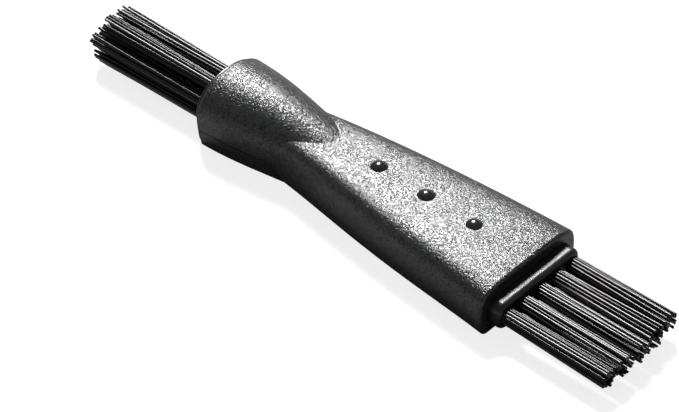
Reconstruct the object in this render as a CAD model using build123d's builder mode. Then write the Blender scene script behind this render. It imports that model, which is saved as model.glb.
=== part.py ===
"""A double-ended cleaning brush: a two-shell handle with a stapled tuft block at each end.

The brush lies flat on its underside. X runs along it with the wide end at +X, Y runs across it and Z is up.
The origin is the middle of its length and width, on the surface it lies on. Millimetres.
"""

import os

from build123d import *

os.makedirs("parts", exist_ok=True)

# ------------------------------------------------------------------ driving dimensions
overall_length = 99.0
narrow_tuft_reach = 23.4  # bristle standing out of the narrow block
narrow_block_reach = 0.45  # narrow block standing out of the shells
wide_block_reach = 2.15
wide_tuft_reach = 18.0

# Handle outline: (distance from the narrow end of the shells, half width, height)
barrel_stations = [
    (0, 6.75, 10.3),
    (5, 6.45, 10.35),
    (9, 5.9, 10.15),
    (14, 5.05, 9.45),
    (19, 4.3, 8.5),
    (25, 3.5, 6.8),
]
body_stations = [(9.5, 4.75, 7.2), (15, 5.25, 8.0), (29, 7.3, 8.2), (43, 8.85, 8.0), (55, 9.95, 7.5)]
barrel_widest_z = 5.4  # height at which a section is widest
body_widest_z = 3.1
barrel_fullness = 0.57  # 0.55 gives an elliptical top, more gives squarer shoulders
body_fullness = 0.95
barrel_lean = 0.8  # how much narrower a section is at its foot than at its widest, each side
body_lean = 1.4
foot_depth = 1.0  # sections are drawn this far below the underside, then trimmed flat

# Shells
wall = 1.0
floor_thickness = 0.7
end_wall = 1.5
end_round = 0.5
seam_on_barrel = 2.8  # height of the joint between the shells
seam_on_body = 0.8
seam_step = (11.6, 13.8)  # the joint steps down between these distances from the narrow end
seam_gap = 0.14
lip_height = 0.8
lip_thickness = 0.45
fit_gap = 0.05
pin_distances = (15.5, 24.5, 41.0)  # press pins, from the narrow end
pin_diameter = 1.8
pin_top = 5.0
boss_diameter = 3.8
boss_seat = 2.0  # height at which each boss bears on its pad

# Grip bumps
bump_distances = (28.2, 36.75, 45.3)
bump_diameter = 2.5
bump_height = 0.62

# Wide block: five tufts in a row
wide_block_size = (16.6, 4.4)
wide_block_base = 1.05
wide_block_corner = 1.4
wide_block_inside = 7.0
wide_head_top = 5.9
wide_tuft_count = 5
wide_tuft_pitch = 3.4
wide_tuft_diameter = 2.5

# Narrow block: eight tufts in rows of two, three and three
collar_inset = 0.4
collar_edge = 0.2
neck_inset = 1.5
neck_base = 0.8
narrow_block_inside = 7.0
narrow_row_counts = (2, 3, 3)
narrow_tuft_pitch = 2.9
narrow_row_pitch = 2.4
narrow_tufts_z = 4.6
narrow_tuft_diameter = 2.1

# Tuft setting, the same at both ends
hole_depth = 5.5
hole_gap = 0.05
block_edge = 0.8
anchor_thickness = 0.4
anchor_length = 1.6
anchor_bite = 0.25
anchor_setback = 0.6  # fold of the bristles behind the anchor

# ------------------------------------------------------------------ places worked out from them
narrow_tip_x = -overall_length / 2
narrow_block_x = narrow_tip_x + narrow_tuft_reach
shell_narrow_x = narrow_block_x + narrow_block_reach
wide_tip_x = overall_length / 2
wide_block_x = wide_tip_x - wide_tuft_reach
shell_wide_x = wide_block_x - wide_block_reach
shell_length = shell_wide_x - shell_narrow_x
wide_tufts_z = wide_block_base + wide_block_size[1] / 2
reach = 15.0  # half size of tools that have to pass right through the handle


def section(station, widest_z, fullness, lean, inset):
    """Draw one section across the handle, inset from its outside, on a plane square to X."""
    distance, half_width, height = station
    half = half_width - inset
    top = height - inset
    foot_half = half - lean
    shoulder_z = widest_z + fullness * (top - widest_z)
    crown_y = fullness * half
    mid_z = (widest_z - foot_depth) / 2
    with BuildSketch(Plane.YZ.offset(shell_narrow_x + distance)) as profile:
        with BuildLine():
            Line((-foot_half, -foot_depth), (foot_half, -foot_depth))
            Bezier((foot_half, -foot_depth), (half, mid_z), (half, widest_z))
            Bezier((half, widest_z), (half, shoulder_z), (crown_y, top), (0, top))
            Bezier((0, top), (-crown_y, top), (-half, shoulder_z), (-half, widest_z))
            Bezier((-half, widest_z), (-half, mid_z), (-foot_half, -foot_depth))
        make_face()
    return profile.sketch


def barrel_section(station, inset):
    """Draw one section across the barrel."""
    return section(station, barrel_widest_z, barrel_fullness, barrel_lean, inset)


def handle_form(inset, base_z, start=0.0, end=shell_length):
    """Join the lofted barrel and body into one solid, trimmed flat at base_z and to a stretch of its length."""
    barrel = [barrel_section(station, inset) for station in barrel_stations]
    body = [section(station, body_widest_z, body_fullness, body_lean, inset) for station in body_stations]
    with BuildPart() as form:
        loft(barrel)
        loft(body)
        split(bisect_by=Plane.XY.offset(base_z), keep=Keep.TOP)
        if start > 0:
            split(bisect_by=Plane.YZ.offset(shell_narrow_x + start), keep=Keep.TOP)
        if end < shell_length:
            split(bisect_by=Plane.YZ.offset(shell_narrow_x + end), keep=Keep.BOTTOM)
    return form.part


def under_seam(rise):
    """Fill everything below the joint between the shells, raised by rise."""
    with BuildPart() as block:
        with BuildSketch(Plane.XZ):
            with BuildLine():
                Polyline(
                    (shell_narrow_x - reach, -reach),
                    (shell_narrow_x - reach, seam_on_barrel + rise),
                    (shell_narrow_x + seam_step[0], seam_on_barrel + rise),
                    (shell_narrow_x + seam_step[1], seam_on_body + rise),
                    (shell_wide_x + reach, seam_on_body + rise),
                    (shell_wide_x + reach, -reach),
                    close=True,
                )
            make_face()
        extrude(amount=reach, both=True)
    return block.part


def body_height(distance):
    """Height of the body's centre line at a distance from the narrow end, between its stations."""
    for near, far in zip(body_stations, body_stations[1:]):
        if near[0] <= distance <= far[0]:
            share = (distance - near[0]) / (far[0] - near[0])
            return near[2] + share * (far[2] - near[2])
    raise ValueError("distance is off the body")


def cavity(inset, base_z):
    """The hollow between the two end walls."""
    return handle_form(inset, base_z, start=end_wall, end=shell_length - end_wall)


# ------------------------------------------------------------------ the handle, before it is parted
outside_form = handle_form(0, 0)

with BuildPart() as handle:
    add(outside_form)
    end_faces = handle.faces().filter_by(Plane.YZ)
    fillet(end_faces.edges().filter_by_position(Axis.Z, 0.1, reach, inclusive=(False, True)), end_round)

# ------------------------------------------------------------------ grip bumps, press pins and bosses
bump_radius = bump_diameter / 2
cap_radius = (bump_radius**2 + bump_height**2) / (2 * bump_height)
with BuildPart() as grip_bumps:
    for distance in bump_distances:
        cap_z = body_height(distance) + bump_height - cap_radius
        with Locations((shell_narrow_x + distance, 0, cap_z)):
            Sphere(cap_radius)

boss_limits = handle_form(wall / 2, 0)

with BuildPart() as bosses:
    with BuildSketch(Plane.XY.offset(boss_seat)):
        for distance in pin_distances:
            with Locations((shell_narrow_x + distance, 0)):
                Circle(boss_diameter / 2)
                Circle(pin_diameter / 2 + fit_gap, mode=Mode.SUBTRACT)
    extrude(amount=reach)
    add(boss_limits, mode=Mode.INTERSECT)

# ------------------------------------------------------------------ upper shell
hollow = cavity(wall, floor_thickness)
below_upper_shell = under_seam(seam_gap / 2)
lip_relief = cavity(wall - lip_thickness - fit_gap, 0) & under_seam(lip_height + fit_gap)
narrow_opening_outline = barrel_section(barrel_stations[0], neck_inset - fit_gap)

with BuildPart() as wide_opening:
    with BuildSketch(Plane.YZ.offset(shell_wide_x - end_wall - fit_gap)):
        with Locations((0, wide_tufts_z)):
            RectangleRounded(
                wide_block_size[0] + 2 * fit_gap,
                wide_block_size[1] + 2 * fit_gap,
                wide_block_corner,
            )
    extrude(amount=end_wall + 1)

with BuildPart() as narrow_opening:
    extrude(narrow_opening_outline, amount=end_wall + fit_gap)
    split(bisect_by=Plane.XY.offset(neck_base - fit_gap), keep=Keep.TOP)

with BuildPart() as upper_shell:
    add(handle.part)
    add(grip_bumps.part)
    add(hollow, mode=Mode.SUBTRACT)
    add(bosses.part)
    add(wide_opening.part, mode=Mode.SUBTRACT)
    add(narrow_opening.part, mode=Mode.SUBTRACT)
    add(below_upper_shell, mode=Mode.SUBTRACT)
    add(lip_relief, mode=Mode.SUBTRACT)

# ------------------------------------------------------------------ lower shell
lip = cavity(wall - lip_thickness, 0) & under_seam(lip_height)
lower_shell_space = under_seam(-seam_gap / 2)

with BuildPart() as lower_shell:
    add(handle.part)
    add(lower_shell_space, mode=Mode.INTERSECT)
    add(lip)
    add(hollow, mode=Mode.SUBTRACT)
    add(wide_opening.part, mode=Mode.SUBTRACT)
    add(narrow_opening.part, mode=Mode.SUBTRACT)
    with BuildSketch(Plane.XY.offset(floor_thickness)):
        for distance in pin_distances:
            with Locations((shell_narrow_x + distance, 0)):
                Circle(boss_diameter / 2)
    extrude(amount=boss_seat - floor_thickness)
    with BuildSketch(Plane.XY.offset(boss_seat)):
        for distance in pin_distances:
            with Locations((shell_narrow_x + distance, 0)):
                Circle(pin_diameter / 2)
    extrude(amount=pin_top - boss_seat)

# ------------------------------------------------------------------ where the tufts stand
wide_places = []
for number in range(wide_tuft_count):
    wide_places.append(((number - (wide_tuft_count - 1) / 2) * wide_tuft_pitch, wide_tufts_z))

narrow_places = []
for row, count in enumerate(narrow_row_counts):
    row_z = narrow_tufts_z + ((len(narrow_row_counts) - 1) / 2 - row) * narrow_row_pitch
    for number in range(count):
        narrow_places.append(((number - (count - 1) / 2) * narrow_tuft_pitch, row_z))


def set_tufts(name, places, diameter, face_x, tip_x):
    """Make the holes, anchors and tufts of one block, from its face at face_x to the bristle tips at tip_x."""
    outward = 1 if tip_x > face_x else -1
    foot_x = face_x - outward * hole_depth
    anchor_x = foot_x + outward * (anchor_setback + anchor_length / 2)
    anchor_width = diameter + 2 * (hole_gap + anchor_bite)
    with BuildPart() as holes:
        with BuildSketch(Plane.YZ.offset(foot_x)):
            with Locations(places):
                Circle(diameter / 2 + hole_gap)
        extrude(amount=outward * (hole_depth + 1))
    anchors = []
    tufts = []
    for number, (y, z) in enumerate(places, start=1):
        with BuildPart() as anchor:
            with Locations((anchor_x, y, z)):
                Box(anchor_length, anchor_width, anchor_thickness)
        anchor.part.label = f"{name}_anchor_{number}"
        anchors.append(anchor.part)
        with BuildPart() as tuft:
            with BuildSketch(Plane.YZ.offset(foot_x)):
                with Locations((y, z)):
                    Circle(diameter / 2)
            extrude(amount=tip_x - foot_x)
            add(anchor.part, mode=Mode.SUBTRACT)
        tuft.part.label = f"{name}_tuft_{number}"
        tufts.append(tuft.part)
    return holes.part, anchors, tufts


# ------------------------------------------------------------------ wide end
wide_holes, wide_anchors, wide_tufts = set_tufts(
    "wide", wide_places, wide_tuft_diameter, wide_block_x, wide_tip_x
)
wide_head = handle_form(
    wall + fit_gap,
    floor_thickness + fit_gap,
    start=shell_length - end_wall - fit_gap - wide_block_inside,
    end=shell_length - end_wall - fit_gap,
)

with BuildPart() as wide_tuft_block:
    add(wide_head)
    split(bisect_by=Plane.XY.offset(wide_head_top), keep=Keep.BOTTOM)
    with BuildSketch(Plane.YZ.offset(wide_block_x)):
        with Locations((0, wide_tufts_z)):
            RectangleRounded(*wide_block_size, wide_block_corner)
    extrude(amount=-(wide_block_reach + end_wall + 2 * fit_gap))
    front = wide_tuft_block.faces().sort_by(Axis.X)[-1]
    fillet(front.outer_wire().edges(), block_edge)
    add(wide_holes, mode=Mode.SUBTRACT)
    for anchor in wide_anchors:
        add(anchor, mode=Mode.SUBTRACT)

# ------------------------------------------------------------------ narrow end
narrow_holes, narrow_anchors, narrow_tufts = set_tufts(
    "narrow", narrow_places, narrow_tuft_diameter, narrow_block_x, narrow_tip_x
)
narrow_head = handle_form(
    wall + fit_gap,
    floor_thickness + fit_gap,
    start=end_wall + fit_gap,
    end=end_wall + fit_gap + narrow_block_inside,
)

neck_outline = barrel_section(barrel_stations[0], neck_inset)
collar_outline = barrel_section(barrel_stations[0], collar_inset)

with BuildPart() as narrow_neck:
    extrude(neck_outline, amount=end_wall + 2 * fit_gap)
    split(bisect_by=Plane.XY.offset(neck_base), keep=Keep.TOP)

with BuildPart() as narrow_tuft_block:
    extrude(collar_outline, amount=-narrow_block_reach)
    split(bisect_by=Plane.XY.offset(collar_inset), keep=Keep.TOP)
    front = narrow_tuft_block.faces().sort_by(Axis.X)[0]
    fillet(front.outer_wire().edges(), collar_edge)
    add(narrow_neck.part)
    add(narrow_head)
    add(narrow_holes, mode=Mode.SUBTRACT)
    for anchor in narrow_anchors:
        add(anchor, mode=Mode.SUBTRACT)

# ------------------------------------------------------------------ one file for each piece
upper_shell.part.label = "upper_shell"
lower_shell.part.label = "lower_shell"
wide_tuft_block.part.label = "wide_tuft_block"
narrow_tuft_block.part.label = "narrow_tuft_block"
pieces = [upper_shell.part, lower_shell.part, wide_tuft_block.part, narrow_tuft_block.part]
pieces += wide_tufts + narrow_tufts + wide_anchors + narrow_anchors
for piece in pieces:
    export_step(piece, f"parts/{piece.label}.step")
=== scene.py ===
# Double-ended cleaning brush: finishes, bristles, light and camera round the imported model.
import math

import bpy
import numpy as np
from mathutils import Matrix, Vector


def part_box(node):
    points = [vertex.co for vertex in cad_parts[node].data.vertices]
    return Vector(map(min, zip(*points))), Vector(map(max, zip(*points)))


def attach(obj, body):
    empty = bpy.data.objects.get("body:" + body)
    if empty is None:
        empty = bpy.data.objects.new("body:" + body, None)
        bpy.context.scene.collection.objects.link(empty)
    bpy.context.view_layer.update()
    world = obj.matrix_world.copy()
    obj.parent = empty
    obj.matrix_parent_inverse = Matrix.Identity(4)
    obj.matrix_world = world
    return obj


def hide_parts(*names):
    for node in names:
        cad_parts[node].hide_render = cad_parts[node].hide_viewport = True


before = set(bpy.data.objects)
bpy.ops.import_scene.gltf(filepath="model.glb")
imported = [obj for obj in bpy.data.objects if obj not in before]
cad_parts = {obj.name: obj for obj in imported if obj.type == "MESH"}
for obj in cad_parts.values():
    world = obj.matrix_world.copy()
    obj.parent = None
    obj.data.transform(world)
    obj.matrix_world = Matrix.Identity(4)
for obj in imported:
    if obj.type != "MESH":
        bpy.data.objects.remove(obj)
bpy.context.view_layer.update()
mm = 0.001
brushMiddle = (0, 0, 5 * mm)
print("frame loaded:", len(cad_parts), "nodes")

camera = {
    "azimuth": 42.15,  # degrees round from -Y towards +X
    "elevation": 41.9,
    "distance": 513 * mm,
    "lens": 199.8,
    "lookAt": (1.6 * mm, -7 * mm, 5 * mm),
}
lights = {
    # the window stands behind the brush, where the top of the handle mirrors it to the camera
    "window": {
        "azimuth": 227.5,
        "elevation": 48.5,
        "distance": 1800 * mm,
        "size": (420 * mm, 420 * mm),
        "power": 60,
    },
    # a long dim wall near the floor, which only the far side of the handle mirrors
    "wall": {
        "azimuth": 207,
        "elevation": 12,
        "distance": 900 * mm,
        "size": (900 * mm, 300 * mm),
        "power": 0.4,
    },
}
surroundings = {
    "sky": 0.25,
    "floorHalf": 3.0,  # metres
    "floorDrop": 0.05 * mm,  # keeps it out of the plane of the underside
    "floorColour": 0.3,
    "floorRoughness": 0.9,
    "floorGlow": 0.8,
}


def addObject(name, data):
    obj = bpy.data.objects.new(name, data)
    bpy.context.scene.collection.objects.link(obj)
    return obj


def polar(target, settings):
    # The target, plus the distance along the direction that the azimuth and elevation give.
    a, e = math.radians(settings["azimuth"]), math.radians(settings["elevation"])
    back = np.array((math.sin(a) * math.cos(e), -math.cos(a) * math.cos(e), math.sin(e)))
    return np.array(target) + back * settings["distance"]


def aim(obj, place, target):
    # Stands the object at its place, with -Z towards the target and X level.
    back = (place - np.array(target)) / np.linalg.norm(place - np.array(target))
    right = np.cross((0, 0, 1), back)
    right /= np.linalg.norm(right)
    turn = np.eye(4)
    turn[:3, :3] = np.stack((right, np.cross(back, right), back), axis=1)
    turn[:3, 3] = place
    obj.matrix_world = Matrix(turn.tolist())


def addCamera(settings):
    data = bpy.data.cameras.new("camera")
    data.lens = settings["lens"]
    data.clip_start = 10 * mm
    obj = addObject("camera", data)
    aim(obj, polar(settings["lookAt"], settings), settings["lookAt"])
    bpy.context.scene.camera = obj


def addLight(name, settings):
    data = bpy.data.lights.new(name, "AREA")
    data.shape = "RECTANGLE"
    data.size, data.size_y = settings["size"]
    data.energy = settings["power"]
    aim(addObject(name, data), polar(brushMiddle, settings), brushMiddle)


def addSky(strength):
    world = bpy.data.worlds.new("sky")
    world.use_nodes = True
    background = world.node_tree.nodes["Background"]
    background.inputs["Color"].default_value = (1, 1, 1, 1)
    background.inputs["Strength"].default_value = strength
    bpy.context.scene.world = world


def addFloor(settings):
    # A pale floor with a little glow of its own for the camera, which keeps its shadows faint.
    half, down = settings["floorHalf"], -settings["floorDrop"]
    mesh = bpy.data.meshes.new("floor")
    corners = [(-half, -half, down), (half, -half, down), (half, half, down), (-half, half, down)]
    mesh.from_pydata(corners, [], [(0, 1, 2, 3)])
    material, tree, shader, _ = newMaterial("paleFloor", Roughness=settings["floorRoughness"])
    grey = settings["floorColour"]
    shader.inputs["Base Color"].default_value = (grey, grey, grey, 1)
    shader.inputs["Emission Color"].default_value = (1, 1, 1, 1)
    seen = tree.nodes.new("ShaderNodeLightPath").outputs["Is Camera Ray"]
    glow = addMath(tree, "MULTIPLY", seen, settings["floorGlow"])
    tree.links.new(glow, shader.inputs["Emission Strength"])
    mesh.materials.append(material)
    addObject("floor", mesh)


# Node helpers
def addNode(tree, kind, **settings):
    # A setting named after an input socket fills that socket, and any other is a property of the node.
    node = tree.nodes.new(kind)
    for key, value in settings.items():
        if key in node.inputs:
            node.inputs[key].default_value = value
        else:
            setattr(node, key, value)
    return node


def addMath(tree, operation, *values, clamp=False):
    node = addNode(tree, "ShaderNodeMath", operation=operation, use_clamp=clamp)
    for socket, value in zip(node.inputs, values):
        if isinstance(value, bpy.types.NodeSocket):
            tree.links.new(value, socket)
        else:
            socket.default_value = value
    return node.outputs[0]


def addRamp(tree, value, fromMin, fromMax, toMin=0.0, toMax=1.0):
    # A smooth step of the value from one range to another.
    node = addNode(tree, "ShaderNodeMapRange", interpolation_type="SMOOTHSTEP")
    for socket, number in zip(node.inputs[1:5], (fromMin, fromMax, toMin, toMax)):
        socket.default_value = number
    tree.links.new(value, node.inputs["Value"])
    return node.outputs["Result"]


def addScaled(tree, vector, scale):
    node = addNode(tree, "ShaderNodeVectorMath", operation="MULTIPLY")
    node.inputs[1].default_value = scale
    tree.links.new(vector, node.inputs[0])
    return node.outputs[0]


def linkColour(tree, factor, first, second, socket):
    # The socket's colour goes from the first to the second as the factor goes from 0 to 1. A Mix node has
    # its factor at 0 and keeps its colours at 6 and 7, and at 2 among the outputs.
    mix = addNode(tree, "ShaderNodeMix", data_type="RGBA")
    mix.inputs[6].default_value = (*first, 1)
    mix.inputs[7].default_value = (*second, 1)
    tree.links.new(factor, mix.inputs[0])
    tree.links.new(mix.outputs[2], socket)


def linkBump(tree, height, depth, shader):
    bump = addNode(tree, "ShaderNodeBump", Distance=depth)
    tree.links.new(height, bump.inputs["Height"])
    tree.links.new(bump.outputs["Normal"], shader.inputs["Normal"])


def newMaterial(name, **constants):
    material = bpy.data.materials.new(name)
    material.use_nodes = True
    tree = material.node_tree
    shader = tree.nodes["Principled BSDF"]
    for key, value in constants.items():
        shader.inputs[key].default_value = value
    return material, tree, shader, tree.nodes.new("ShaderNodeTexCoord").outputs["Object"]


def newGroup(name, inputs, outputs):
    # A node group: its inputs are names with starting values, and Vector comes first.
    tree = bpy.data.node_groups.new(name, "ShaderNodeTree")
    tree.interface.new_socket("Vector", in_out="INPUT", socket_type="NodeSocketVector")
    for label, value in inputs.items():
        socket = tree.interface.new_socket(label, in_out="INPUT", socket_type="NodeSocketFloat")
        socket.default_value = value
    for label in outputs:
        tree.interface.new_socket(label, in_out="OUTPUT", socket_type="NodeSocketFloat")
    return tree, tree.nodes.new("NodeGroupInput").outputs, tree.nodes.new("NodeGroupOutput").inputs


def useGroup(tree, group, vector, values):
    node = addNode(tree, "ShaderNodeGroup", node_tree=group)
    for key, value in values.items():
        node.inputs[key].default_value = value
    tree.links.new(vector, node.inputs["Vector"])
    return node.outputs


# Finishes that several pieces share
grainShape = {
    "turn": (0.6, 0.45, 0.3),  # radians, so that no flat face runs along the noise's own grid
    "sharpness": 5,  # how narrow the ridges are
    "cellsPerRidge": 1.7,
    "glint": (0.75, 1.15),  # heights between which a ridge starts to glint
}
dust = {"specksPerMm": 0.9}


def makeMouldGrain(settings):
    # Spark-eroded grain, as winding ridges on small cells: height = 1 - sharpness times how far a noise is
    # from its middle, but never under 0, + Cells times the distance to the nearest point of a scatter.
    tree, given, result = newGroup("mouldGrain", {"Per mm": 3, "Cells": 0.3}, ("Height", "Glint"))
    turned = addNode(tree, "ShaderNodeVectorRotate", rotation_type="EULER_XYZ", Rotation=settings["turn"])
    tree.links.new(addScaled(tree, given["Vector"], (1 / mm, 1 / mm, 1 / mm)), turned.inputs["Vector"])
    place = turned.outputs[0]
    winding = addNode(tree, "ShaderNodeTexNoise", Detail=2, Roughness=0.5, Distortion=0.6)
    cells = addNode(tree, "ShaderNodeTexVoronoi", feature="F1")
    tree.links.new(place, winding.inputs["Vector"])
    tree.links.new(place, cells.inputs["Vector"])
    tree.links.new(given["Per mm"], winding.inputs["Scale"])
    cellScale = addMath(tree, "MULTIPLY", given["Per mm"], settings["cellsPerRidge"])
    tree.links.new(cellScale, cells.inputs["Scale"])
    away = addMath(tree, "ABSOLUTE", addMath(tree, "SUBTRACT", winding.outputs[0], 0.5))
    ridge = addMath(tree, "SUBTRACT", 1, addMath(tree, "MULTIPLY", away, settings["sharpness"]), clamp=True)
    pit = addMath(tree, "MULTIPLY", cells.outputs["Distance"], given["Cells"])
    height = addMath(tree, "ADD", ridge, pit)
    tree.links.new(height, result["Height"])
    tree.links.new(addRamp(tree, height, *settings["glint"]), result["Glint"])
    return tree


def makeHandling(settings):
    # Slow changes of gloss from handling, and a few specks of settled dust.
    tree, given, result = newGroup("handling", {"Per mm": 0.15, "Speck": 0.05}, ("Polish", "Dust"))
    place = addScaled(tree, given["Vector"], (1 / mm, 1 / mm, 1 / mm))
    slow = addNode(tree, "ShaderNodeTexNoise", Detail=3, Roughness=0.6)
    specks = addNode(tree, "ShaderNodeTexVoronoi", feature="F1", Scale=settings["specksPerMm"])
    tree.links.new(place, slow.inputs["Vector"])
    tree.links.new(place, specks.inputs["Vector"])
    tree.links.new(given["Per mm"], slow.inputs["Scale"])
    tree.links.new(addRamp(tree, slow.outputs[0], 0.3, 0.7), result["Polish"])
    tree.links.new(addMath(tree, "LESS_THAN", specks.outputs["Distance"], given["Speck"]), result["Dust"])
    return tree


def makeDrawnLines():
    # Fine lines along X, as on drawn wire or filament: a noise stretched twenty times in that direction.
    tree, given, result = newGroup("drawnLines", {"Across per mm": 14}, ("Height",))
    lines = addNode(tree, "ShaderNodeTexNoise", Detail=1)
    tree.links.new(addScaled(tree, given["Vector"], (0.05 / mm, 1 / mm, 1 / mm)), lines.inputs["Vector"])
    tree.links.new(given["Across per mm"], lines.inputs["Scale"])
    tree.links.new(lines.outputs[0], result["Height"])
    return tree


# Handle shells: grained black plastic with polished grip bumps
shell = {
    "colour": (0.008, 0.008, 0.009),
    "ridgeColour": (0.018, 0.018, 0.019),
    "roughness": (0.29, 0.25),  # fresh and polished by handling
    "specular": (0.3, 0.85),  # less gloss in the hollows of the grain, as painted shade there, and more on its ridges
    "hollow": (0.35, 1.2),  # the heights that these belong to
    "grainPerMm": 2.9,
    "grainDepth": 0.028 * mm,
    "cells": 0.35,
    "wearPerMm": 0.12,
    "bumpRoughness": 0.2,
    "bumpSpecular": 0.5,
    "bumpSpacing": 8.55 * mm,
    "firstBumpX": 2.55 * mm,
    "bumpCount": 3,
    "bumpRadius": 1.25 * mm,
    "bumpEdge": 0.03,  # share of the radius over which the polish fades, each way
    "bumpsAbove": 7 * mm,
}


def addBumpMask(tree, place, settings):
    # 1 on the grip bumps: how far a point lies from the nearest of the evenly spaced centres.
    axes = addNode(tree, "ShaderNodeSeparateXYZ")
    tree.links.new(place, axes.inputs[0])
    along = addMath(tree, "SUBTRACT", axes.outputs["X"], settings["firstBumpX"])
    along = addMath(tree, "DIVIDE", along, settings["bumpSpacing"])
    nearest = addMath(tree, "MAXIMUM", addMath(tree, "ROUND", along), 0)
    nearest = addMath(tree, "MINIMUM", nearest, settings["bumpCount"] - 1)
    offset = addMath(tree, "MULTIPLY", addMath(tree, "SUBTRACT", along, nearest), settings["bumpSpacing"])
    across = addMath(tree, "POWER", axes.outputs["Y"], 2)
    reach = addMath(tree, "SQRT", addMath(tree, "ADD", addMath(tree, "POWER", offset, 2), across))
    radius, edge = settings["bumpRadius"], settings["bumpEdge"]
    near = addRamp(tree, reach, (1 + edge) * radius, (1 - edge) * radius)
    above = addMath(tree, "GREATER_THAN", axes.outputs["Z"], settings["bumpsAbove"])
    return addMath(tree, "MULTIPLY", near, above)


def makeShellFinish(settings):
    material, tree, shader, place = newMaterial("grainedBlack", IOR=1.5)
    grain = useGroup(tree, mouldGrain, place, {"Per mm": settings["grainPerMm"], "Cells": settings["cells"]})
    wear = useGroup(tree, handling, place, {"Per mm": settings["wearPerMm"], "Speck": 0})
    onBump = addBumpMask(tree, place, settings)
    offBump = addMath(tree, "SUBTRACT", 1, onBump)
    glint = addMath(tree, "MULTIPLY", grain["Glint"], offBump)
    linkColour(tree, glint, settings["colour"], settings["ridgeColour"], shader.inputs["Base Color"])
    rough = addMath(tree, "MULTIPLY", addRamp(tree, wear["Polish"], 0, 1, *settings["roughness"]), offBump)
    rough = addMath(tree, "ADD", rough, addMath(tree, "MULTIPLY", onBump, settings["bumpRoughness"]))
    tree.links.new(rough, shader.inputs["Roughness"])
    # painted shade: the hollows of the grain get less gloss than its ridges, so they read darker as if shaded
    level = addRamp(tree, grain["Height"], *settings["hollow"], *settings["specular"])
    level = addMath(tree, "MAXIMUM", level, addMath(tree, "MULTIPLY", onBump, settings["bumpSpecular"]))
    tree.links.new(level, shader.inputs["Specular IOR Level"])
    linkBump(tree, addMath(tree, "MULTIPLY", grain["Height"], offBump), settings["grainDepth"], shader)
    return material


# Tuft blocks: smooth black plastic with a trace of dust
block = {
    "colour": (0.006, 0.006, 0.007),
    "dust": (0.05, 0.05, 0.052),
    "roughness": (0.34, 0.24),
    "grainPerMm": 5,
    "grainDepth": 0.005 * mm,
    "cells": 0.5,
    "wearPerMm": 0.3,
    "speck": 0.045,
}


def makeBlockFinish(settings):
    material, tree, shader, place = newMaterial("smoothBlack", IOR=1.5)
    grain = useGroup(tree, mouldGrain, place, {"Per mm": settings["grainPerMm"], "Cells": settings["cells"]})
    wear = useGroup(tree, handling, place, {"Per mm": settings["wearPerMm"], "Speck": settings["speck"]})
    linkColour(tree, wear["Dust"], settings["colour"], settings["dust"], shader.inputs["Base Color"])
    tree.links.new(addRamp(tree, wear["Polish"], 0, 1, *settings["roughness"]), shader.inputs["Roughness"])
    linkBump(tree, grain["Height"], settings["grainDepth"], shader)
    return material


# Anchors: drawn brass, dulled in patches
anchor = {
    "bright": (0.72, 0.55, 0.25),
    "dull": (0.45, 0.31, 0.13),
    "roughness": (0.42, 0.25),
    "linesPerMm": 20,
    "lineDepth": 0.004 * mm,
    "wearPerMm": 1.5,
}


def makeAnchorFinish(settings):
    material, tree, shader, place = newMaterial("drawnBrass", Metallic=1)
    lines = useGroup(tree, drawnLines, place, {"Across per mm": settings["linesPerMm"]})
    wear = useGroup(tree, handling, place, {"Per mm": settings["wearPerMm"], "Speck": 0})
    linkColour(tree, wear["Polish"], settings["dull"], settings["bright"], shader.inputs["Base Color"])
    tree.links.new(addRamp(tree, wear["Polish"], 0, 1, *settings["roughness"]), shader.inputs["Roughness"])
    linkBump(tree, lines["Height"], settings["lineDepth"], shader)
    return material


# Bristles: black nylon, cut a little unevenly
bristle = {
    "colour": (0.004, 0.004, 0.005),
    "pale": (0.016, 0.015, 0.014),
    "roughness": (0.24, 0.42),
    "specular": (0.15, 1),  # the gloss differs at random from filament to filament, so that few of them shine
    "linesPerMm": 9,
    "lineDepth": 0.002 * mm,
    "diameter": 0.42 * mm,
    "sides": 8,
    "rings": 2,  # rings of filaments round the middle one
    "settle": 0.1 * mm,  # how far an inner root may lie off its ring
    "stations": 8,
    "inHole": 1.5 * mm,  # length inside the hole
    "uneven": 0.6 * mm,  # how much shorter than the longest a filament of a tuft may be
    "cutSlope": 0.45,  # steepest slope of a cut end
    "wave": 0.05 * mm,
    "seed": 17,
}
tufts = {
    # sag is how far the tips stand from the hole's line across and upwards, and short is each tuft's loss of
    # length in mm
    "wide": {
        "outward": 1,
        "flare": 0.2,
        "stray": 0.15 * mm,
        "sag": (-0.05 * mm, -0.05 * mm),
        "short": (0.0, 0.1, 0.0, 0.3, 0.8),
    },
    "narrow": {
        "outward": -1,
        "flare": 0.28,
        "stray": 0.17 * mm,
        "sag": (0, -0.25 * mm),
        "short": (1.1, 1.1, 0.0, 0.1, 0.4, 0.4, 0.4, 1.0),
    },
}


def makeBristleFinish(settings):
    material, tree, shader, place = newMaterial("blackNylon", IOR=1.6)
    lines = useGroup(tree, drawnLines, place, {"Across per mm": settings["linesPerMm"]})
    tone = addNode(tree, "ShaderNodeAttribute", attribute_name="tone").outputs["Fac"]
    linkColour(tree, tone, settings["colour"], settings["pale"], shader.inputs["Base Color"])
    tree.links.new(addRamp(tree, tone, 0, 1, *settings["roughness"]), shader.inputs["Roughness"])
    tree.links.new(addRamp(tree, tone, 0, 1, *settings["specular"]), shader.inputs["Specular IOR Level"])
    linkBump(tree, lines["Height"], settings["lineDepth"], shader)
    return material


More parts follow.
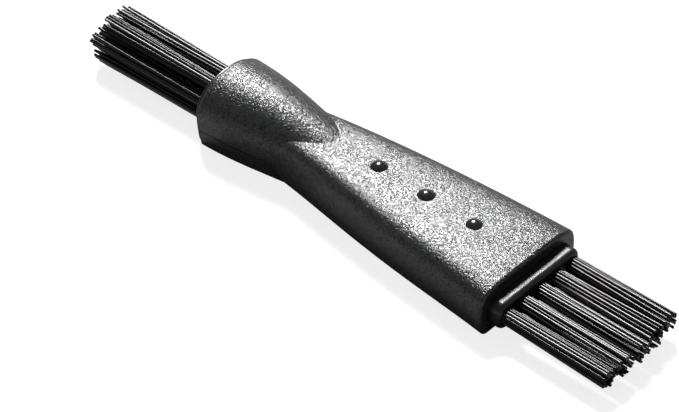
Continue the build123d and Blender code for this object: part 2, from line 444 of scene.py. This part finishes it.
def filamentLines(low, high, faceX, short, end, rng):
    # Middle lines of one tuft's filaments, count by stations by 3. Roots lie on rings of equal spacing in the
    # hole, each as full as its circumference over the diameter allows. A line runs straight along X, then
    # leaves by (flare times root + stray + sag) times its share of free length, with a slow wave in Y.
    outward = end["outward"]
    spread = (high[1] - low[1]) / 2 - bristle["diameter"] / 2
    middle = np.array((low[1] + high[1], low[2] + high[2])) / 2
    longest = high[0] if outward > 0 else low[0]
    radii = np.arange(bristle["rings"] + 1) * spread / bristle["rings"]
    full = np.maximum(1, np.floor(2 * math.pi * radii / bristle["diameter"])).astype(int)
    count = full.sum()
    turn = (np.arange(count) - np.repeat(np.cumsum(full) - full, full)) / np.repeat(full, full)
    angle = 2 * math.pi * turn + np.repeat(rng.uniform(0, 2 * math.pi, len(full)), full)
    radius = np.repeat(radii, full)[:, None]
    root = np.stack((np.cos(angle), np.sin(angle)), axis=1) * radius
    root += rng.uniform(-bristle["settle"], bristle["settle"], (count, 2)) * (radius < spread)
    stray = rng.normal(0, end["stray"], (count, 2))
    cutRoom = bristle["cutSlope"] * bristle["diameter"] / math.sqrt(2)  # keeps the sloped cut inside the tuft
    tip = longest - outward * (short * mm + cutRoom + rng.uniform(0, bristle["uneven"], count))
    foot = faceX - outward * bristle["inHole"]
    # a station close to each end, so that the caps don't bend the smooth shading of a whole length
    share = np.concatenate(([0], np.linspace(0.01, 0.99, bristle["stations"] - 2), [1]))
    free = np.clip((share * abs(longest - foot) - bristle["inHole"]) / abs(longest - faceX), 0, 1)
    leave = end["flare"] * root + stray + np.array(end["sag"])
    wave = np.sin(share * rng.uniform(2, 5, (count, 1)) + rng.uniform(0, 6, (count, 1))) * bristle["wave"]
    line = np.zeros((count, bristle["stations"], 3))
    line[:, :, 0] = foot + share * (tip[:, None] - foot)
    line[:, :, 1:] = middle + root[:, None, :] + free[None, :, None] * leave[:, None, :]
    line[:, :, 1] += wave * free
    return line


def skinFilaments(line, outward, rng):
    # Tubes with caps: a ring of points round every station of every line, the last one sloped for the cut.
    count, stations, _ = line.shape
    sides = bristle["sides"]
    around = np.linspace(0, 2 * math.pi, sides, endpoint=False)
    ring = np.stack((np.zeros(sides), np.cos(around), outward * np.sin(around)), axis=1)
    ring *= bristle["diameter"] / 2
    points = line[:, :, None, :] + ring
    points[:, -1, :, 0] += rng.uniform(-1, 1, (count, 2)) * bristle["cutSlope"] @ ring[:, 1:].T
    first = np.arange(count)[:, None, None] * stations * sides + np.arange(stations - 1)[:, None] * sides
    near = first + np.arange(sides)
    far = first + (np.arange(sides) + 1) % sides
    quads = np.stack((near, far, far + sides, near + sides), axis=-1).reshape(-1, 4)
    cap = np.arange(count)[:, None] * stations * sides + np.arange(sides)
    faces = quads.tolist() + cap[:, ::-1].tolist() + (cap + (stations - 1) * sides).tolist()
    return points.reshape(-1, 3), faces, len(quads)


def makeTuft(name, low, high, faceX, short, end, rng):
    line = filamentLines(low, high, faceX, short, end, rng)
    points, faces, roundFaces = skinFilaments(line, end["outward"], rng)
    mesh = bpy.data.meshes.new(name)
    mesh.from_pydata(points.tolist(), [], faces)
    mesh.polygons.foreach_set("use_smooth", np.arange(len(faces)) < roundFaces)
    tone = np.repeat(rng.uniform(0, 1, len(line)) ** 2, len(points) // len(line))
    mesh.attributes.new("tone", "FLOAT", "POINT").data.foreach_set("value", tone.astype(np.float32))
    return addObject(name, mesh)


def addTufts(material):
    rng = np.random.default_rng(bristle["seed"])
    for side, end in tufts.items():
        blockLow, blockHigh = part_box(f"{side}_tuft_block")
        faceX = blockHigh[0] if end["outward"] > 0 else blockLow[0]
        for number, short in enumerate(end["short"], start=1):
            node = f"{side}_tuft_{number}"
            tuft = makeTuft(f"{side}_bristles_{number}", *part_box(node), faceX, short, end, rng)
            tuft.data.materials.append(material)
            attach(tuft, "root")
            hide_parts(node)


def dress(material, *starts):
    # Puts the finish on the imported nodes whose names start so.
    for name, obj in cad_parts.items():
        if name.startswith(starts):
            obj.data.materials.clear()
            obj.data.materials.append(material)


addCamera(camera)
for name, settings in lights.items():
    addLight(name, settings)
addSky(surroundings["sky"])
addFloor(surroundings)
bpy.context.scene.view_settings.view_transform = "Standard"
print("camera, lights and floor set")

mouldGrain = makeMouldGrain(grainShape)
handling = makeHandling(dust)
drawnLines = makeDrawnLines()
dress(makeShellFinish(shell), "upper_shell", "lower_shell")
dress(makeBlockFinish(block), "wide_tuft_block", "narrow_tuft_block")
dress(makeAnchorFinish(anchor), "wide_anchor", "narrow_anchor")
print("shells, blocks and anchors finished")

addTufts(makeBristleFinish(bristle))
print("bristles set")
